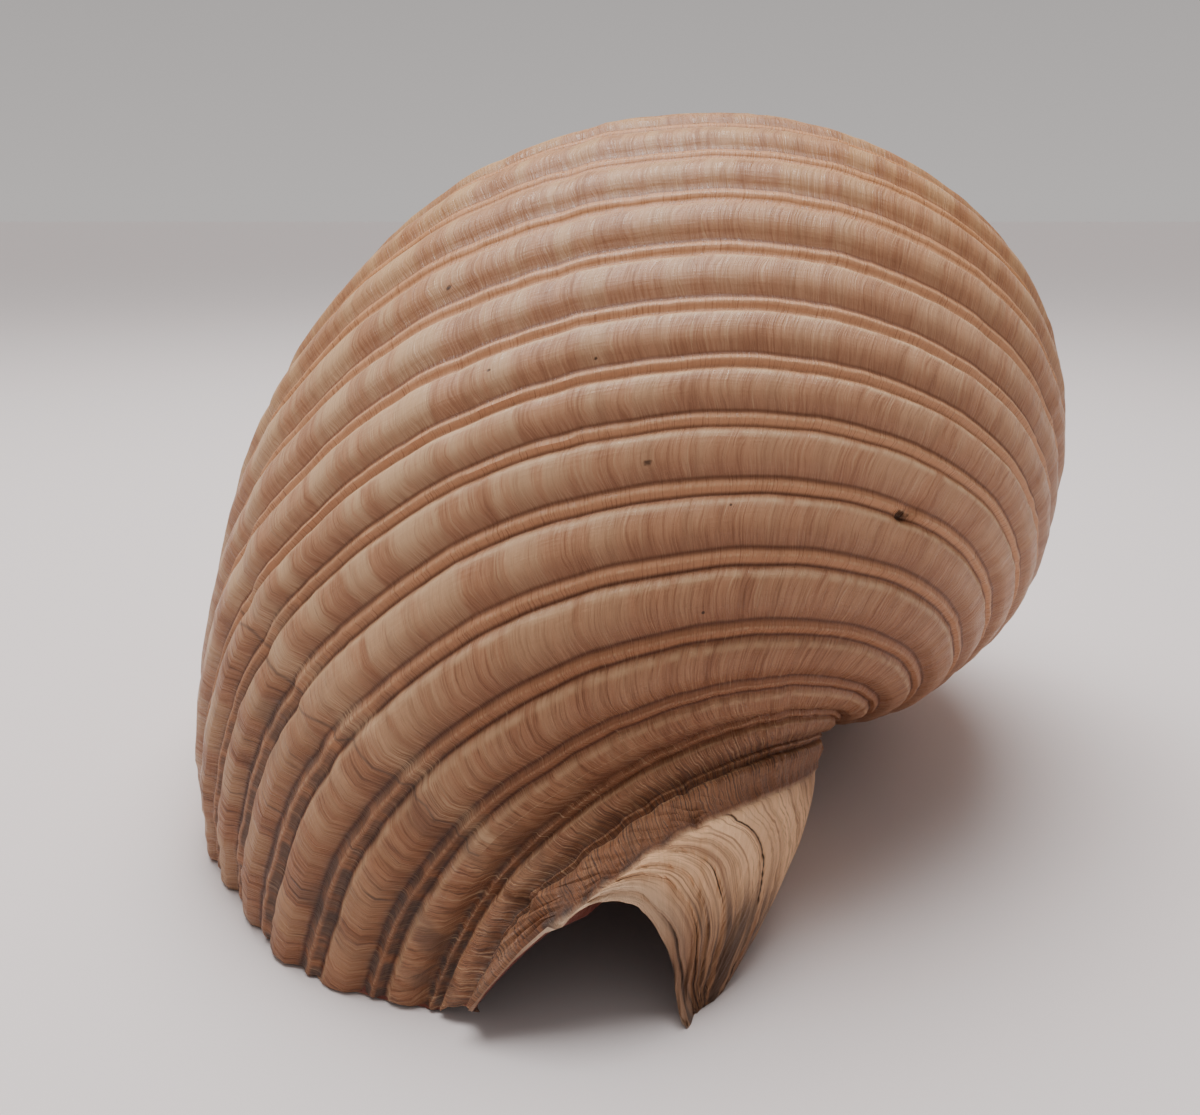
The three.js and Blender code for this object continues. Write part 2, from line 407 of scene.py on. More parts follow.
def through(points, at):
    """Smooth curve through evenly numbered points (Catmull-Rom): its value and its slope at each number."""
    line = np.concatenate([[2 * points[0] - points[1]], points, [2 * points[-1] - points[-2]]])
    start = np.clip(np.floor(at).astype(int), 0, len(points) - 2)
    share = at - start
    before, here, after, beyond = (line[start + k] for k in range(4))
    one = after - before
    two = 2 * before - 5 * here + 4 * after - beyond
    three = 3 * (here - after) + beyond - before
    value = here + 0.5 * share * (one + share * (two + share * three))
    slope = 0.5 * (one + share * (2 * two + share * 3 * three))
    return value, slope


def wander(at, step, seed):
    """Smooth random curve from -1 to 1 with a knot at every step, the same for the same seed."""
    knots = np.random.default_rng(seed).uniform(-1, 1, 4096)
    place = at / step + 2000
    first = np.floor(place).astype(int)
    share = place - first
    share = share * share * (3 - 2 * share)
    return knots[first] * (1 - share) + knots[first + 1] * share


def growth(angle):
    """Size of the shell at a turn angle: a fixed ratio for every turn, and 1 at the full-size angle."""
    ratio = bpy.context.scene.tun_shape.growth_per_turn
    return ratio ** ((angle - FULL_SIZE_ANGLE) / 360)


def girth(angle):
    """Width of the shell at a turn angle: its growth, less a smooth dip on the flatter flank."""
    return growth(angle) * (1 - FLANK_FLATTENING * bell((angle - FLANK_ANGLE) / FLANK_SPREAD))


def placed(radius, angle, depth):
    """Points of the shell in its frame, in metres, from distance to the axis, turn angle and depth."""
    level = math.cos(AXIS_LEAN)
    side, ahead = math.sin(AXIS_TURN), math.cos(AXIS_TURN)
    down = np.array([-side * level, -ahead * level, -math.sin(AXIS_LEAN)])
    right = np.array([ahead, -side, 0])
    over = np.cross(down, right)
    turn = np.radians(angle)
    across = (radius * np.cos(turn))[..., None] * right + (radius * np.sin(turn))[..., None] * over
    return (APEX + across + depth[..., None] * down) * MM


def shell_surface(rib, angle, lift):
    """Radius and depth at a rib number and turn angle, lift millimetres outside the bare surface.

    Up to the last groove the groove curve grows with the angle. From there to the tip the radius falls with a
    power of the share, its square and less on the slimmer right side, and the depth runs evenly to the tip.
    Before the tip's angle the tip has its smaller, younger place, so its line winds up along the axis.
    """
    young = growth(np.minimum(angle, TIP_ANGLE)) / growth(TIP_ANGLE)
    tip_r = TIP_RADIUS * young
    on_body = np.minimum(rib, LAST_GROOVE)
    base_r, slope_r = through(GROOVE_RADII, on_body)
    base_d, slope_d = through(GROOVE_DEPTHS, on_body)
    length = np.hypot(slope_r, slope_d)
    waist = WAIST * bell((angle - WAIST_ANGLE) / WAIST_SPREAD) * smooth_step(*WAIST_RIBS, rib)
    start_r = base_r * girth(angle) * (1 - waist)
    start_d = base_d * growth(angle)
    share = np.clip(rib - LAST_GROOVE, 0, 1)
    fall = np.maximum(TIP_DEPTH * young - start_d, tip_r)
    width = start_r - tip_r
    power = PILLAR_POWER - PILLAR_SLIMMING * within(angle, *SLIM_TURN)
    drop = width * share ** power
    lean = power * np.maximum(share, 1e-6) ** (power - 1) * width
    steep = np.hypot(fall, lean)
    on_pillar = share > 0
    out_r = np.where(on_pillar, fall / steep, slope_d / length)
    out_d = np.where(on_pillar, lean / steep, -slope_r / length)
    radius = start_r - np.where(on_pillar, drop, 0)
    depth = start_d + np.where(on_pillar, fall * share, 0)
    return radius + out_r * lift, depth + out_d * lift


def rib_relief(rib, angle):
    """Height of the ribs: rounded, between smooth flanks, with a bell-shaped thread in each groove.

    The flank below a groove is steep and the one above it gentle. Grooves are wider near the lip and on the
    upper ribs, where a lower thread lies on both sides of the first.
    """
    shape = bpy.context.scene.tun_shape
    across = (rib + 0.5) % 1 - 0.5
    off_groove = np.abs(across)
    at_lip = smooth_step(*LIP_TURN, angle) * within(rib, *LIP_RIBS)
    wide = UPPER_WIDENING * (1 - smooth_step(*UPPER_RIBS, rib)) + LIP_WIDENING * at_lip
    steep = smooth_step(STEEP_FLANK[0] + wide, STEEP_FLANK[1] + wide, across)
    gentle = smooth_step(GENTLE_FLANK[0] + wide, GENTLE_FLANK[1] + wide, -across)
    crown = 1 - CROWN_FALL * ((0.5 - off_groove) / CROWN_HALF) ** 2
    bead = 1 + THREAD_UNEVEN * wander(angle + 31 * np.round(rib), *BEAD_CURVE)
    thread = bead * bell((across - THREAD_PLACE) / (THREAD_WIDTH + LIP_THREAD_WIDENING * at_lip))
    second = SECOND_THREAD_HEIGHT * (1 - smooth_step(*SECOND_THREAD_RIBS, rib))
    second = second * bell((off_groove - SECOND_THREAD_PLACE) / SECOND_THREAD_WIDTH)
    height = (shape.rib_height * (steep + gentle) * crown + shape.thread_height * (thread + second)) / MM
    full = UPPER_RIB_HEIGHT + (1 - UPPER_RIB_HEIGHT) * smooth_step(*FULL_RIBS, rib)
    height = height * within(rib, *RIBBED) * full
    for place, spread, rise in (RIBLET, CREASE):
        height = height + rise * bell((rib - place) / spread)
    return height * growth(angle)


def rib_wander(rib, angle):
    """Sideways wander of the ribs, in rib numbers: two random curves along the turn, calm at both ends.

    The upper ribs also lie a little higher before the top of the turn and lower after it.
    """
    raised = RAISED * within(angle, *RAISED_TURN) * (1 - smooth_step(*RAISED_RIBS, rib))
    lowered = LOWERED * smooth_step(*LOWERED_TURN, angle) * (1 - smooth_step(*LOWERED_RIBS, rib))
    uneven = SWAY * wander(angle + 3 * rib, *SWAY_CURVE) + TREMBLE * wander(angle - 5 * rib, *TREMBLE_CURVE)
    return within(rib, *CALM_RIBS) * (uneven + lowered - raised)


def scar_distance(rib, angle):
    """Degrees past the healed scar, or far away where the ribs have no scar."""
    on_scar = (rib > SCAR_RIBS[0]) & (rib < SCAR_RIBS[-1])
    jagged = SCAR_JAGGED * wander(rib, *SCAR_CURVE)
    return np.where(on_scar, angle - np.interp(rib, SCAR_RIBS, SCAR_ANGLES) + jagged, NO_SCAR)


def scar_relief(rib, angle):
    """Height of the healed scar: a thin bell-shaped groove along it, and a sunk step that fades after it."""
    scar = scar_distance(rib, angle)
    return -SCAR_GROOVE * bell(scar / SCAR_GROOVE_WIDTH) - SCAR_STEP * within(scar, *SCAR_STEP_TURN)


def ripple_relief(rib, angle, gap):
    """Height of the growth ripples: random curves along the turn, skewed by rib, rougher near the lip.

    Below the canal's first rib they slant to follow the edge of the notch, and coarser ones are added.
    """
    ripple = bpy.context.scene.tun_shape.ripple / MM
    skewed = angle + RIPPLE_SKEW * rib + CANAL_SLANT * np.maximum(rib - CANAL_RIB, 0)
    rough = 1 + LIP_ROUGH * (1 - smooth_step(*LIP_ROUGH_GAP, gap)) * smooth_step(*LIP_ROUGH_RIBS, rib)
    rough = rough + CANAL_ROUGH * within(rib, *CANAL_ROUGH_RIBS)
    fine = rough * (wander(skewed, *FINE_CURVE) + SMALL_SHARE * wander(angle + 2 * rib, *SMALL_CURVE))
    broad = BROAD_SHARE * wander(skewed, *BROAD_CURVE) + LONG_SHARE * wander(angle, *LONG_CURVE)
    coarse = CANAL_COARSE * within(rib, *CANAL_COARSE_RIBS) * wander(skewed, *COARSE_CURVE)
    return ripple * (fine + broad) + coarse


def pit_relief(rib, angle):
    """Depth of the pits: a bell-shaped dent for each."""
    depth = np.zeros(np.broadcast(rib, angle).shape)
    for pit_rib, pit_angle, size, deep in PITS:
        away = np.hypot((rib - pit_rib) * RIB_WIDTH, (angle - pit_angle) * ARC_PER_DEGREE)
        depth = depth - deep * bell(away / size)
    return depth


def leaf_number(rib, gap):
    """Number of the fasciole's leaf, counted from the edge of the notch, with its share as the fraction."""
    spread = 1 + LEAF_SPREAD * np.clip(rib - LEAF_SPREAD_RIB, 0, 1)
    uneven = LEAF_UNEVEN * wander(rib, *LEAF_CURVE) * smooth_step(*LEAF_UNEVEN_GAP, gap)
    return np.interp(gap / spread + uneven, LEAF_LINES, np.arange(len(LEAF_LINES)))


def leaf_relief(rib, gap):
    """Height of the fasciole's leaves: a saw-tooth of the leaf number, stepping down to the edge."""
    tooth = leaf_number(rib, gap) % 1
    saw = LEAF_HEIGHT * smooth_step(0.0, LEAF_STEP, tooth) * (1 - LEAF_FALL * tooth)
    wavy = LEAF_WAVE * smooth_step(*LEAF_WAVE_RIBS, rib) * wander(gap + 14 * rib, *WAVE_CURVE)
    return within(rib, *LEAF_RIBS) * np.exp(-gap / LEAF_FADE) * (saw + wavy)


def outer_relief(rib, angle, gap):
    """Height of all the relief of the outside, thinned to a soft edge at the rim."""
    grown = rib_relief(rib, angle) + ripple_relief(rib, angle, gap) + leaf_relief(rib, gap)
    harmed = scar_relief(rib, angle) + pit_relief(rib, angle)
    return grown + harmed - EDGE_DROP * (1 - smooth_step(*EDGE_DROP_GAP, gap))


def tip_spur(rib, gap):
    """Extra depth of the ragged spur at the tip: a bell over the rib number and over the gap to the edge."""
    ragged = 1 + SPUR_UNEVEN * wander(gap + 90 * rib, *SPUR_CURVE)
    return SPUR * ragged * bell((rib - SPUR_RIB) / SPUR_RIB_SPREAD) * bell(gap / SPUR_SPREAD)


def ground_edge(rib):
    """Turn angle where each rib number meets the ground, found by halving, or the lip angle if it doesn't."""
    low = np.full(rib.shape, LOWEST_EDGE)
    high = np.full(rib.shape, LIP_ANGLE)
    for _ in range(HALVINGS):
        middle = (low + high) / 2
        radius, depth = shell_surface(rib + rib_wander(rib, middle), middle, rib_relief(rib, middle))
        above = placed(radius, middle, depth)[..., 2] > 0
        low = np.where(above, middle, low)
        high = np.where(above, high, middle)
    return high


def shell_edge(rib):
    """Turn angle of the shell's edge: the ground, or the arch of the notch where that comes first."""
    arch = np.interp(rib, NOTCH_RIBS, NOTCH_EDGE, left=LIP_ANGLE)
    ragged = EDGE_RAGGED * wander(rib, *EDGE_CURVE) * smooth_step(*EDGE_RAGGED_RIBS, rib)
    return np.minimum(ground_edge(np.minimum(rib, LAST_GROOVE)), arch) + ragged


def columns(rib_steps, pillar_columns, canal_steps=None):
    """Rib numbers of the columns: the same steps in every rib, then even steps down the pillar."""
    canal_steps = rib_steps if canal_steps is None else canal_steps
    ribs = (np.arange(CANAL_RIB)[:, None] + rib_steps).ravel()
    canal = (np.arange(CANAL_RIB, LAST_GROOVE)[:, None] + canal_steps).ravel()
    return np.concatenate([ribs, canal, np.linspace(LAST_GROOVE, PILLAR_END, pillar_columns)])


def paced(base, edge):
    """Turn angles of a grid: each column runs at its own pace from the canal's start to its edge."""
    share = np.clip((base - CANAL_START) / (LIP_ANGLE - CANAL_START), 0, 1)[:, None]
    return np.where(share > 0, CANAL_START + share * (edge - CANAL_START), base[:, None])


def ring_faces(rows, width):
    """Quads of a grid whose columns close into a ring."""
    row = np.arange(rows - 1)[:, None] * width
    here = np.arange(width)
    after = (here + 1) % width
    return np.stack([row + here, row + after, row + width + after, row + width + here], -1).reshape(-1, 4)


def zipped(line_a, at_a, line_b, at_b):
    """Triangles between two lines of corners, joined in the order of their places along the lines."""
    middle_a = (at_a[1:] + at_a[:-1]) / 2
    middle_b = (at_b[1:] + at_b[:-1]) / 2
    with_b = line_b[np.searchsorted(middle_b, middle_a)]
    with_a = line_a[np.searchsorted(middle_a, middle_b, side="right")]
    first = np.stack([line_a[:-1], line_a[1:], with_b], -1)
    second = np.stack([line_b[1:], line_b[:-1], with_a], -1)
    return np.concatenate([first, second])


def end_caps(rows, outside, inside):
    """Triangles that close both ends of a grid of rings, between its outside columns and its inside ones."""
    split = len(outside)
    first = np.arange(split + len(inside))
    last = first + (rows - 1) * len(first)
    caps = [zipped(ring[:split], outside, ring[split:][::-1], inside[::-1]) for ring in (first, last)]
    return np.concatenate([caps[0][:, ::-1], caps[1]])


def turn_rows():
    """Turn angles of the last turn's rows: the back, the front, then a few close together at the rim."""
    back = np.linspace(LAST_START, CANAL_START, BACK_ROWS, endpoint=False)
    rim = LIP_ANGLE - RIM_STEP * np.arange(RIM_ROWS)[::-1]
    front = np.linspace(CANAL_START, rim[0], FRONT_ROWS, endpoint=False)
    return np.concatenate([back, front, rim])


def outer_wall(rib, angle, gap):
    """Points of the outside: the shell's surface and all its relief, sunk where the last turn starts."""
    sunk = JOIN_SINK * (1 - smooth_step(LAST_START, LAST_START + JOIN_SPAN, angle))
    lift = outer_relief(rib, angle, gap) - sunk
    radius, depth = shell_surface(rib + rib_wander(rib, angle), angle, lift)
    return placed(radius, angle, depth + tip_spur(rib, gap))


def inner_wall(rib, angle, gap):
    """Points of the inside: the shell's surface less the wall, which is thinner towards the edge.

    Where the pillar is solid, the inside is drawn in to a narrow hollow along the axis.
    """
    wall = bpy.context.scene.tun_shape.wall / MM
    at_leg = within(rib, *LEG_RIBS)
    taper = (EDGE_WALL - LEG_WALL_LOSS * at_leg) * wall + (EDGE_TAPER - LEG_TAPER_LOSS * at_leg) * gap
    lift = INNER_RELIEF * rib_relief(rib, angle) - np.minimum(wall, taper)
    radius, depth = shell_surface(rib + rib_wander(rib, angle), angle, lift)
    closed = (rib > SOLID_PILLAR_RIB) * (1 - smooth_step(*SOLID_PILLAR, angle))
    return placed(radius + (PILLAR_HOLLOW - radius) * closed, angle, depth + tip_spur(rib, gap))


def last_turn():
    """The hollow last turn: a ring of columns, down the outside and back up the inside, along the turn."""
    outside = columns(RIB_STEPS, PILLAR_COLUMNS)
    inside = columns(LINING_RIB_STEPS, LINING_PILLAR_COLUMNS, CANAL_RIB_STEPS)[::-1]
    base = turn_rows()
    edge = shell_edge(outside)
    inner_edge = np.interp(inside, outside, edge)
    angle = paced(base, edge)
    inner_angle = paced(base, inner_edge)
    outer = outer_wall(outside, angle, edge - angle)
    inner = inner_wall(inside, inner_angle, inner_edge - inner_angle)
    points = np.concatenate([outer, inner], 1)
    rows, width = points.shape[:2]
    rib = np.broadcast_to(np.concatenate([outside, inside]), (rows, width))
    lining = np.broadcast_to(np.arange(width) >= len(outside), (rows, width))
    turns = np.concatenate([angle, inner_angle], 1)
    gaps = np.concatenate([edge - angle, inner_edge - inner_angle], 1)
    marks = (rib, turns, gaps, lining, leaf_number(rib, gaps), scar_distance(rib, turns))
    return points, ring_faces(rows, width), end_caps(rows, outside, inside), marks


def young_turns():
    """The filled young turns: a ring of columns down the outside and back up along the axis."""
    outside = columns(YOUNG_RIB_STEPS, YOUNG_PILLAR_COLUMNS)
    along_axis = np.array([PILLAR_END, 0.0])
    base = NUCLEUS_START + (YOUNG_END - NUCLEUS_START) * np.linspace(0, 1, YOUNG_ROWS) ** YOUNG_PACE
    angle = np.broadcast_to(base[:, None], (len(base), len(outside)))
    sunk = JOIN_SINK * smooth_step(YOUNG_END - JOIN_SPAN, YOUNG_END, angle)
    lift = rib_relief(outside, angle) * smooth_step(*YOUNG_RIBS_TURN, angle) - sunk
    radius, depth = shell_surface(outside, angle, lift)
    ends = np.stack([depth[:, -1], depth[:, 0]], 1)
    axis_angle = np.broadcast_to(base[:, None], ends.shape)
    core = placed(AXIS_CORE * growth(axis_angle), axis_angle, ends)
    points = np.concatenate([placed(radius, angle, depth), core], 1)
    rows, width = points.shape[:2]
    rib = np.broadcast_to(np.concatenate([outside, along_axis]), (rows, width))
    turns = np.concatenate([angle, axis_angle], 1)
    none = np.zeros((rows, width))
    marks = (rib, turns, none + FAR_FROM_EDGE, none, none + len(LEAF_LINES), none + NO_SCAR)
    return points, ring_faces(rows, width), end_caps(rows, outside, along_axis), marks


def turned_out(points, faces):
    """The same faces with their corners reversed if the shape they close has a negative volume."""
    corner = points[faces]
    volume = np.einsum("ij,ij->", corner[:, 0], np.cross(corner[:, 1], corner[:, 2]))
    return faces if volume > 0 else faces[:, ::-1]


def shell_mesh(name):
    """One mesh of the last turn and the young turns, with the values that its finish reads."""
    points, faces, marks = [], [], []
    count = 0
    for place, quads, triangles, values in (last_turn(), young_turns()):
        place = place.reshape(-1, 3)
        place[:, 2] = np.maximum(place[:, 2], 0)
        split = np.concatenate([quads[:, [0, 1, 2]], quads[:, [0, 2, 3]], triangles])
        faces.append(turned_out(place, split) + count)
        points.append(place)
        marks.append([np.ravel(value) for value in values])
        count += len(place)
    points = np.concatenate(points)
    faces = np.concatenate(faces)
    mesh = bpy.data.meshes.new(name)
    mesh.vertices.add(len(points))
    mesh.vertices.foreach_set("co", points.astype(np.float32).ravel())
    mesh.loops.add(faces.size)
    mesh.loops.foreach_set("vertex_index", faces.astype(np.int32).ravel())
    mesh.polygons.add(len(faces))
    mesh.polygons.foreach_set("loop_start", np.arange(0, faces.size, 3, dtype=np.int32))
    mesh.update(calc_edges=True)
    mesh.validate()
    mesh.shade_smooth()
    mesh.set_sharp_from_angle(angle=math.radians(SHARP_ANGLE))
    for index, mark in enumerate(MARKS):
        values = np.concatenate([marks[0][index], marks[1][index]]).astype(np.float32)
        mesh.attributes.new(mark, "FLOAT", "POINT").data.foreach_set("value", values)
    return mesh


class Finish:
    """Short-hand for wiring the nodes of one material."""

    def __init__(self, name):
        self.material = bpy.data.materials.new(name)
        self.material.use_nodes = True
        self.tree = self.material.node_tree
        self.shader = self.tree.nodes["Principled BSDF"]

    def node(self, kind, inputs=(), **settings):
        made = self.tree.nodes.new(kind)
        for key, value in settings.items():
            setattr(made, key, value)
        for key, value in dict(inputs).items():
            self.feed(made.inputs[key], value)
        return made

    def feed(self, socket, value):
        if isinstance(value, bpy.types.NodeSocket):
            self.tree.links.new(value, socket)
        else:
            socket.default_value = value

    def mark(self, name):
        return self.node("ShaderNodeAttribute", attribute_name=name).outputs["Fac"]

    def math(self, operation, *values):
        return self.node("ShaderNodeMath", dict(enumerate(values)), operation=operation).outputs[0]

    def ramp(self, value, low, high, start=0.0, end=1.0):
        inputs = {"Value": value, "From Min": low, "From Max": high, "To Min": start, "To Max": end}
        return self.node("ShaderNodeMapRange", inputs, interpolation_type="SMOOTHSTEP").outputs[0]

    def joined(self, x, y, z=0.0):
        return self.node("ShaderNodeCombineXYZ", {"X": x, "Y": y, "Z": z}).outputs[0]

    def noise(self, vector, scale, detail=2.0, roughness=0.5):
        inputs = {"Vector": vector, "Scale": scale, "Detail": detail, "Roughness": roughness}
        return self.node("ShaderNodeTexNoise", inputs).outputs["Fac"]

    def product(self, first, *others):
        """All the values multiplied together."""
        for other in others:
            first = self.math("MULTIPLY", first, other)
        return first

    def most(self, first, *others):
        """The largest of the values."""
        for other in others:
            first = self.math("MAXIMUM", first, other)
        return first

    def line(self, value, middle, half):
        """1 where the value is at the middle, falling to 0 at half the line's width."""
        return self.ramp(self.math("ABSOLUTE", self.math("SUBTRACT", value, middle)), half, 0.0)

    def mixed(self, share, first, second, blend="MIX"):
        made = self.node("ShaderNodeMix", data_type="RGBA", blend_type=blend, clamp_factor=True)
        self.feed(made.inputs[0], share)
        self.feed(made.inputs[6], first)
        self.feed(made.inputs[7], second)
        return made.outputs[2]


class ShellFinish(Finish):
    """Layers of the shell's finish, worked out from its marks, the parts of the shell and the streaks."""

    def __init__(self, name):
        super().__init__(name)
        colours = bpy.context.scene.tun_colours
        self.paint = {colour: (*getattr(colours, colour), 1) for colour in colours.__annotations__}
        self.rib, self.turn, self.gap, self.lining, self.leaf, self.scar = (self.mark(mark) for mark in MARKS)
        self.set_parts()
        self.draw_streaks()

    def over(self, base, colour, share, strength=1.0):
        """The base with one of the colours laid over it, as much as the share times the strength."""
        return self.mixed(self.product(share, strength), base, self.paint[colour])

    def streak(self, name, over, along):
        """One of the streaks: noise at the two places, each times its rate."""
        over_rate, along_rate, layer, detail, roughness = STREAKS[name]
        place = self.joined(self.product(over, over_rate), self.product(along, along_rate), layer)
        return self.noise(place, 1.0, detail, roughness)

    def set_parts(self):
        """Places across a rib, from its thread, and shares for the upper, low and left ribs and the lip."""
        middle = self.math("FRACT", self.math("ADD", self.rib, 0.5))
        self.across = self.math("SUBTRACT", middle, 0.5 + THREAD_PLACE)
        self.off_groove = self.math("ABSOLUTE", self.across)
        self.upper = self.ramp(self.rib, *UPPER_LOOK)
        self.low = self.ramp(self.rib, *LOW_LOOK)
        self.left = self.ramp(self.turn, *LEFT_LOOK)
        lip_ribs = self.line(self.rib, AT_LIP_RIB, AT_LIP_HALF)
        self.at_lip = self.product(self.ramp(self.turn, *LIP_TURN), lip_ribs)
        self.near_lip = self.product(self.ramp(self.gap, *NEAR_LIP_GAP), self.ramp(self.rib, *NEAR_LIP_RIBS))
        self.strong = self.ramp(self.most(self.low, self.near_lip), 0.0, 1.0, *STRONG)
        lip_wide = self.product(self.at_lip, LIP_WIDENING)
        wide = self.math("MULTIPLY_ADD", self.upper, UPPER_LOOK_WIDENING, lip_wide)
        self.on_rib = self.ramp(self.math("SUBTRACT", self.off_groove, wide), *RIB_LOOK)

    def draw_streaks(self):
        """Noises drawn out along the growth lines, which bow over each rib and slant along the notch."""
        self.drift = self.streak("drift", self.rib, self.turn)
        bow = self.product(self.math("COSINE", self.product(self.rib, 2 * math.pi)), STREAK_BOW)
        past = self.math("MAXIMUM", self.math("SUBTRACT", self.rib, CANAL_RIB), 0.0)
        swayed = self.math("MULTIPLY_ADD", self.drift, STREAK_DRIFT, bow)
        bent = self.math("ADD", self.turn, self.math("MULTIPLY_ADD", past, CANAL_SLANT, swayed))
        self.fine = self.streak("fine", self.rib, bent)
        self.hair = self.streak("hair", self.rib, bent)
        self.broad = self.streak("broad", self.rib, self.turn)
        self.weave = self.streak("weave", self.rib, self.turn)
        self.cloud = self.streak("cloud", self.rib, self.turn)
        self.grain = self.streak("grain", self.rib, self.leaf)
        self.tone = self.streak("tone", self.rib, self.leaf)
        each = self.math("ROUND", self.math("SUBTRACT", self.rib, 0.5))
        shared = self.product(self.streak("shared_block", self.rib, self.turn), 0.45)
        self.block = self.math("MULTIPLY_ADD", self.streak("own_block", each, self.turn), 0.6, shared)

    def rib_colour(self):
        """Tan ribs with brown growth lines, pale blocks, a painted highlight along the crest, and painted
        shade with brown growth lines on the lower side.
        """
        colour = self.over(self.paint["rib"], "brown", self.ramp(self.broad, 0.4, 0.75), 0.4)
        colour = self.over(colour, "brown", self.ramp(self.fine, 0.475, 0.66), self.strong)
        colour = self.over(colour, "pale", self.ramp(self.fine, 0.46, 0.28), 0.45)
        ragged = self.product(self.math("SUBTRACT", self.hair, 0.5), 0.22)
        blocks = self.ramp(self.math("ADD", self.block, ragged), 0.475, 0.59)
        blocky = self.math("MULTIPLY_ADD", self.most(self.product(self.upper, 0.7), self.left), 0.55, 0.2)
        blocky = self.product(blocky, self.ramp(self.low, 1.0, 0.0, 0.35, 1.0))
        colour = self.over(colour, "pale", blocks, blocky)
        # Painted highlight: a pale line along the upper part of each rib.
        crest_highlight = self.product(self.line(self.across, 0.24, 0.09), self.ramp(self.drift, 0.3, 0.6))
        colour = self.over(colour, "pale", crest_highlight, 0.75)
        # Painted shade on the lower side of each rib, varying with the fine growth lines.
        lower_side_shade = self.ramp(self.math("FRACT", self.rib), 0.45, 0.84)
        lower_side_shade = self.product(lower_side_shade, self.ramp(self.hair, 0.35, 0.6, 0.5, 0.95))
        return self.over(colour, "brown", lower_side_shade, 0.7)

    def groove_colour(self):
        """Orange threads with a painted highlight along their crests, broken into beads, between dark bands
        that shift where the grooves are wide: reddish brown lines with painted shade in the groove.
        """
        thread = self.over(self.paint["thread"], "brown", self.ramp(self.hair, 0.5, 0.7), 0.5)
        thread = self.over(thread, "rib", self.near_lip, 0.55)
        # Painted shade: the threads of the low ribs are made browner.
        thread = self.over(thread, "brown", self.ramp(self.rib, 16.8, 20.5), 0.5)
        # Painted highlight along the crest of each thread, broken into beads.
        bead = self.product(self.line(self.across, -0.01, 0.035), self.ramp(self.fine, 0.55, 0.4))
        thread = self.over(thread, "pale", bead, 0.5)
        upper_shift = self.product(self.upper, BAND_UPPER_SHIFT)
        shift = self.math("MULTIPLY_ADD", self.at_lip, BAND_LIP_SHIFT, upper_shift)
        # The dark bands are reddish brown lines and painted shade in the groove; the band above lies under
        # the lower flank of the rib above.
        above = self.line(self.across, self.math("SUBTRACT", -BAND_ABOVE[0], shift), BAND_ABOVE[1])
        above = self.product(above, self.ramp(self.upper, 0.0, 1.0, 1.0, 0.75))
        below = self.line(self.across, self.math("ADD", BAND_BELOW[0], shift), BAND_BELOW[1])
        below = self.product(below, self.ramp(self.rib, 14.0, 17.5, 0.1, 0.95))
        beside = self.product(self.line(self.off_groove, THREAD_WIDTH, 0.022), self.upper, 0.5)
        firm = self.ramp(self.strong, *STRONG, 0.86, 0.97)
        faint = self.ramp(self.rib, 20.3, 21.3, 1.0, 0.5)
        dark = self.product(self.most(above, below, beside), firm, faint)
        return self.over(thread, "groove", dark)

    def shaded_and_tinted(self, colour):
        """The colour with painted shade, darker on the low ribs and near the lip, and yellower on the upper
        ribs.
        """
        # Painted shade: the low ribs and the lip side are multiplied darker.
        shade = self.product(self.most(self.low, self.product(self.near_lip, 0.85)), 0.74)
        colour = self.mixed(shade, colour, self.mixed(1.0, colour, LOW_SHADE, "MULTIPLY"))
        yellow = self.mixed(1.0, colour, UPPER_TINT, "MULTIPLY")
        return self.mixed(self.product(self.upper, 0.8), colour, yellow)

    def soiled(self, colour):
        """The colour with dirt beside the threads and in growth lines near the lip, painted shade along the
        crease above the fasciole, pale wear, and stains.
        """
        beside = self.product(self.ramp(self.off_groove, 0.27, 0.11), self.ramp(self.broad, 0.3, 0.55))
        beside = self.product(beside, self.ramp(self.off_groove, 0.015, 0.06, 0.25, 1.0), self.near_lip, 0.8)
        lines = self.product(self.ramp(self.fine, 0.56, 0.68), self.ramp(self.drift, 0.4, 0.6))
        lines = self.product(lines, self.near_lip, 0.7)
        rugged = self.product(self.line(self.rib, 22.3, 1.5), self.ramp(self.fine, 0.47, 0.62), 0.75)
        # Painted shade along the crease above the fasciole, in the dirt colour.
        crease_shade = self.product(self.line(self.rib, CREASE[0], 0.12), 0.75)
        colour = self.over(colour, "dirt_and_shade", self.most(beside, lines, rugged, crease_shade))
        worn = self.product(self.ramp(self.hair, 0.42, 0.28), self.ramp(self.strong, *STRONG, 0.0, 0.3))
        ridged = self.product(self.line(self.rib, 21.4, 1.6), self.ramp(self.fine, 0.45, 0.33, 0.0, 0.5))
        colour = self.over(colour, "pale", self.most(worn, ridged))
        return self.over(colour, "dirt_and_shade", self.ramp(self.cloud, 0.5, 0.68), self.product(self.near_lip, 0.45))

    def scarred(self, colour):
        """The colour with a pale band before the healed scar and a thin dark line along it."""
        healed = self.product(self.line(self.scar, -3.0, 4.0), self.ramp(self.hair, 0.58, 0.4, 0.1, 0.45))
        colour = self.over(colour, "pale", healed)
        return self.over(colour, "dirt_and_shade", self.line(self.scar, 0.0, 0.4), 0.5)

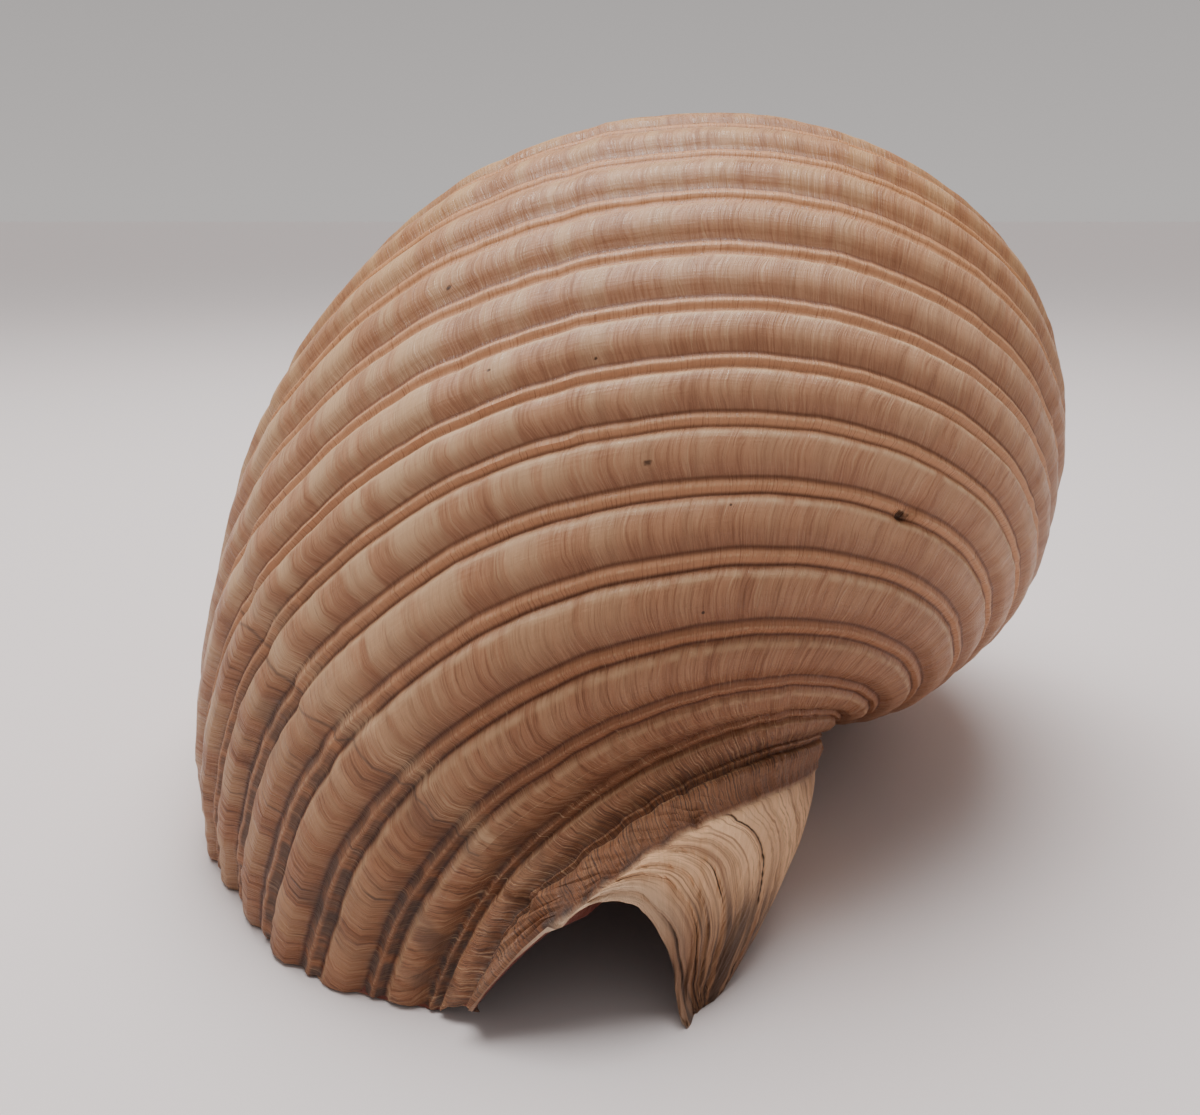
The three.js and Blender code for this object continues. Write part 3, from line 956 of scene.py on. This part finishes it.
    def fasciole_colour(self):
        """Paler leaves with brown grain, a pale newest leaf, a dirty lower part and dark cracks."""
        colour = self.over(self.paint["fasciole"], "brown", self.ramp(self.tone, 0.45, 0.7), 0.42)
        colour = self.over(colour, "brown", self.ramp(self.grain, 0.48, 0.66), 0.62)
        each = self.streak("leaf_tone", self.math("FLOOR", self.leaf), LEAF_TONE_PLACE)
        colour = self.over(colour, "brown", self.ramp(each, 0.4, 0.7), 0.2)
        colour = self.over(colour, "rim", self.ramp(self.leaf, 2.1, 0.9), 0.6)
        colour = self.over(colour, "brown", self.ramp(self.rib, 23.3, 23.85), 0.72)
        lower = self.product(self.ramp(self.rib, 23.35, 23.65), self.ramp(self.tone, 0.4, 0.58))
        colour = self.over(colour, "dirt_and_shade", lower, 0.75)
        step = self.math("ROUND", self.leaf)
        on_step = self.line(self.math("FRACT", self.math("ADD", self.leaf, 0.5)), 0.5, 0.055)
        part = self.ramp(self.streak("crack_part", self.rib, step), 0.42, 0.52)
        opened = self.ramp(self.math("MODULO", step, 2.0), 0.2, 0.1, 0.25, 1.0)
        return self.over(colour, "crack_and_shade", self.product(on_step, part, opened), self.ramp(self.leaf, 8.5, 7.0))

    def inside_colour(self):
        """Reddish brown lining, browner in the pillar, with a pale edge that is browner at the leg."""
        lining = self.over(self.paint["lining"], "brown", self.ramp(self.rib, 23.55, 23.8))
        edge = self.over(self.paint["rim"], "brown", self.ramp(self.rib, 22.9, 22.6), 0.75)
        return self.mixed(self.ramp(self.lining, 0.85, 1.0), edge, lining)

    def pits(self):
        """Painted shade in the deep pits: 1 at the bottom of each, falling to 0 at its ragged edge."""
        uneven = self.math("MULTIPLY_ADD", self.streak("pit_edge", self.rib, self.turn), 2.0, -1.05)
        dark = 0.0
        for pit_rib, pit_angle, size, deep in PITS:
            if deep < DENT_SHARE * size:
                continue
            over = self.product(self.math("SUBTRACT", self.rib, pit_rib), RIB_WIDTH / size)
            along = self.product(self.math("SUBTRACT", self.turn, pit_angle), ARC_PER_DEGREE / size)
            away = self.math("ADD", self.product(over, over), self.product(along, along))
            dark = self.math("MAXIMUM", dark, self.ramp(self.math("ADD", away, uneven), 1.0, 0.1))
        return dark

    def growth_bump(self):
        """Fine relief of the growth lines and of the fasciole's grain, deeper where the lines are strong."""
        grain = self.product(self.grain, 0.8, self.ramp(self.rib, 22.9, 23.1))
        height = self.math("MULTIPLY_ADD", self.hair, 0.6, self.fine)
        height = self.math("MULTIPLY_ADD", self.weave, 0.35, height)
        height = self.product(self.math("ADD", height, grain), self.ramp(self.strong, *STRONG, 0.9, 2.2))
        inputs = {"Height": height, "Strength": BUMP_STRENGTH, "Distance": BUMP_DEPTH}
        return self.node("ShaderNodeBump", inputs).outputs[0]

    def roughness(self):
        """Roughness that rises on the brown growth lines and falls on the glossy hair lines."""
        gloss = self.product(self.ramp(self.hair, 0.52, 0.62), 0.27)
        return self.math("SUBTRACT", self.ramp(self.fine, 0.3, 0.8, 0.42, 0.6), gloss)


def shell_finish():
    """Finish of the shell: tan ribs and dark grooves with painted highlights and painted shade, aged, then
    the fasciole, the inside and the painted shade in the pits.
    """
    look = ShellFinish("shell_finish")
    body = look.mixed(look.on_rib, look.groove_colour(), look.rib_colour())
    body = look.scarred(look.soiled(look.shaded_and_tinted(body)))
    body = look.mixed(look.ramp(look.rib, *FASCIOLE_LOOK), body, look.fasciole_colour())
    colour = look.mixed(look.ramp(look.lining, 0.0, 0.12), body, look.inside_colour())
    # Painted shade at the bottom of the deep pits.
    colour = look.over(colour, "crack_and_shade", look.pits(), 0.85)
    look.feed(look.shader.inputs["Base Color"], colour)
    look.feed(look.shader.inputs["Roughness"], look.roughness())
    look.feed(look.shader.inputs["Normal"], look.growth_bump())
    look.shader.inputs["Specular IOR Level"].default_value = SPECULAR
    return look.material


def floor_finish():
    """Finish of the floor: one pale matt colour."""
    look = Finish("floor_finish")
    look.shader.inputs["Base Color"].default_value = (*bpy.context.scene.tun_stage.floor_colour, 1)
    look.shader.inputs["Roughness"].default_value = FLOOR_ROUGHNESS
    return look.material


def sky_world(strength):
    """World of even pale light: full strength overhead, and brighter towards the horizon."""
    world = bpy.context.scene.world or bpy.data.worlds.new("sky")
    world.use_nodes = True
    tree = world.node_tree
    sky = tree.nodes["Background"]
    sky.inputs["Color"].default_value = SKY_COLOUR
    place = tree.nodes.new("ShaderNodeTexCoord")
    parts = tree.nodes.new("ShaderNodeSeparateXYZ")
    height = tree.nodes.new("ShaderNodeMapRange")
    height.inputs["From Max"].default_value = HORIZON_HEIGHT
    height.inputs["To Min"].default_value = HORIZON_GAIN * strength
    height.inputs["To Max"].default_value = strength
    tree.links.new(place.outputs["Generated"], parts.inputs[0])
    tree.links.new(parts.outputs["Z"], height.inputs["Value"])
    tree.links.new(height.outputs[0], sky.inputs["Strength"])
    return world


def linked(name, data):
    """A new object at the origin that shows the data."""
    made = bpy.data.objects.new(name, data)
    bpy.context.scene.collection.objects.link(made)
    return made


class TUN_OT_shell(bpy.types.Operator):
    """Build the shell from its growth spiral and give it its finish"""
    bl_idname = "tun.build_shell"
    bl_label = "Build Shell"

    def execute(self, context):
        mesh = shell_mesh("tun_shell")
        mesh.materials.append(shell_finish())
        shell = linked("tun_shell", mesh)
        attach(shell, "root")
        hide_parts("shell")
        return {"FINISHED"}


def lay_floor():
    """A large plain floor at the height of the ground, kept out of the object."""
    half = FLOOR_HALF
    corners = [(-half, -half, 0), (half, -half, 0), (half, half, 0), (-half, half, 0)]
    mesh = bpy.data.meshes.new("floor")
    mesh.from_pydata(corners, [], [(0, 1, 2, 3)])
    mesh.materials.append(floor_finish())
    linked("floor", mesh)


def hang_lights(look):
    """A large soft light above, a wide one from behind and the sky."""
    key = bpy.data.lights.new("key_light", "AREA")
    key.size = KEY_SIZE
    key.energy = look.key_power
    lamp = linked("key_light", key)
    lamp.location = KEY_PLACE
    lamp.rotation_euler = [math.radians(turn) for turn in KEY_TURN]
    wide = bpy.data.lights.new("wide_light", "SUN")
    wide.energy = look.sun_strength
    wide.angle = math.radians(WIDE_ANGLE)
    sun = linked("wide_light", wide)
    sun.rotation_euler = [math.radians(turn) for turn in WIDE_TURN]
    bpy.context.scene.world = sky_world(look.sky_strength)


def set_camera():
    """The camera that shows the shell as it lies in the picture."""
    lens = bpy.data.cameras.new("camera")
    lens.sensor_fit = "HORIZONTAL"
    lens.sensor_width = CAMERA_SENSOR
    lens.lens = CAMERA_LENS
    lens.clip_start = CAMERA_NEAR * MM
    camera = linked("camera", lens)
    camera.location = [value * MM for value in CAMERA_PLACE]
    camera.rotation_euler = (math.radians(CAMERA_TILT), 0, 0)
    bpy.context.scene.camera = camera


class TUN_OT_stage(bpy.types.Operator):
    """Lay a plain pale floor and set the soft lights and the camera"""
    bl_idname = "tun.build_stage"
    bl_label = "Build Stage"

    def execute(self, context):
        lay_floor()
        hang_lights(context.scene.tun_stage)
        set_camera()
        return {"FINISHED"}


class TUN_PT_panel(bpy.types.Panel):
    """Sidebar panel with the shell's sizes, colours and steps"""
    bl_label = "Tun Shell"
    bl_idname = "TUN_PT_panel"
    bl_space_type = "VIEW_3D"
    bl_region_type = "UI"
    bl_category = "Tun Shell"

    def draw(self, context):
        for group in (context.scene.tun_shape, context.scene.tun_colours, context.scene.tun_stage):
            box = self.layout.box()
            for name in group.__annotations__:
                box.prop(group, name)
        for operator in (TUN_OT_shell, TUN_OT_stage):
            self.layout.operator(operator.bl_idname)


GROUPS = {"tun_shape": ShellShape, "tun_colours": ShellColours, "tun_stage": StageLook}
CLASSES = (*GROUPS.values(), TUN_OT_shell, TUN_OT_stage, TUN_PT_panel)


def register():
    for item in CLASSES:
        bpy.utils.register_class(item)
    for name, group in GROUPS.items():
        setattr(bpy.types.Scene, name, PointerProperty(type=group))


def unregister():
    for name in GROUPS:
        delattr(bpy.types.Scene, name)
    for item in reversed(CLASSES):
        bpy.utils.unregister_class(item)


def main():
    """Builds the shell and its stage."""
    register()
    bpy.ops.tun.build_shell()
    bpy.ops.tun.build_stage()


if __name__ == "__main__":
    main()
